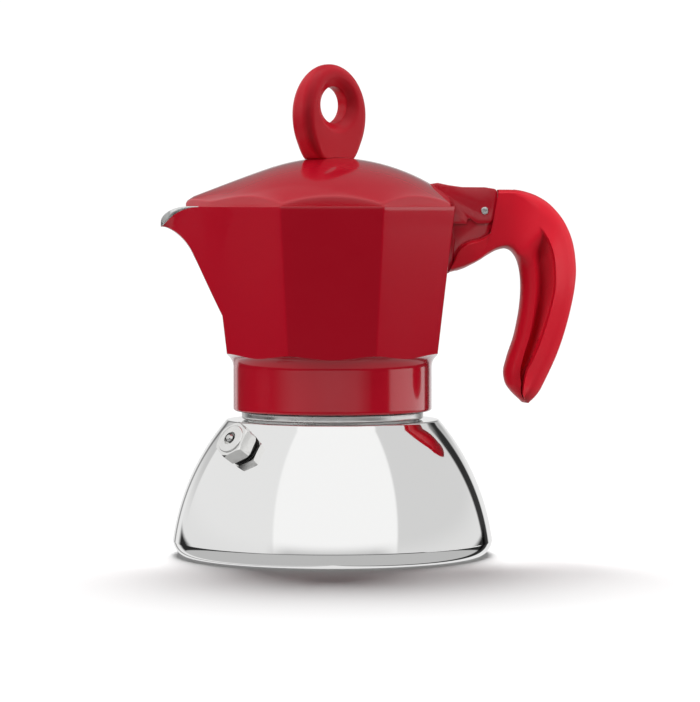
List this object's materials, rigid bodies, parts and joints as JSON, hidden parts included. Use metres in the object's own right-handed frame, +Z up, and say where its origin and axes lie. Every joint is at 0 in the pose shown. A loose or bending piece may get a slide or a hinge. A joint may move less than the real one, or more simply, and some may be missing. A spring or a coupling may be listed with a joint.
{
  "type": "moka pot",
  "caption": "Octagonal stovetop coffee pot: round boiler with safety valve, red enamelled jug with spout, hinged domed lid with ring knob, hooked handle.",
  "frame": {"origin": "centre of the boiler's flat foot, on the pot's axis, where it meets the table", "axes": "+Z up along the pot's axis; +X towards the handle; -X towards the spout; a flat side of the jug faces -Y"},
  "size_m": [0.1271, 0.0978, 0.1499],
  "materials": {
    "red_enamel": "gloss",
    "red_plastic": "satin",
    "polished_steel": "mirror polished stainless steel",
    "aluminium": "satin",
    "nickel_brass": "nickel plated",
    "steel_fixing": "satin",
    "black_rubber": "matt",
    "white_rubber": "matt"
  },
  "bodies": {
    "boiler": {"boiler_shell": "polished_steel", "boiler_liner": "aluminium", "valve_body": "nickel_brass", "valve_gasket": "black_rubber", "valve_retainer": "nickel_brass", "valve_spring": "steel_fixing"},
    "plunger": {"valve_plunger": "steel_fixing"},
    "funnel": {"funnel_basket": "aluminium", "funnel_stem": "aluminium", "funnel_strainer": "aluminium"},
    "seal": {"seal_ring": "white_rubber", "filter_plate": "aluminium"},
    "collector": {"collector_body": "red_enamel", "coffee_column": "aluminium", "column_cap": "aluminium", "handle": "red_plastic", "handle_screw": "steel_fixing", "hinge_pin": "steel_fixing"},
    "lid": {"lid": "red_enamel", "knob": "red_plastic", "knob_washer": "steel_fixing", "knob_screw": "steel_fixing"}
  },
  "joints": [
    {"name": "collector_lift", "type": "slide", "parent": "boiler", "child": "seal", "axis": [0, 0, 1], "range_m": [0, 0.1]},
    {"name": "collector_turn", "type": "hinge", "parent": "seal", "child": "collector", "pos_m": [0, 0, 0.05], "axis": [0, 0, 1], "range_deg": [0, 540]},
    {"name": "lid_hinge", "type": "hinge", "parent": "collector", "child": "lid", "pos_m": [0.0464, 0, 0.1052], "axis": [0, 1, 0], "range_deg": [0, 95]},
    {"name": "funnel_lift", "type": "slide", "parent": "boiler", "child": "funnel", "axis": [0, 0, 1], "range_m": [0, 0.05]},
    {"name": "valve_plunger_slide", "type": "slide", "parent": "boiler", "child": "plunger", "axis": [-0.6061, -0.6061, 0.515], "range_m": [0, 0.0015], "stiffness_N_per_m": 300, "deforming": ["valve_spring"]}
  ],
  "couplings": [
    {"joint": "funnel_lift", "follows": "collector_lift", "ratio": 0.5}
  ]
}
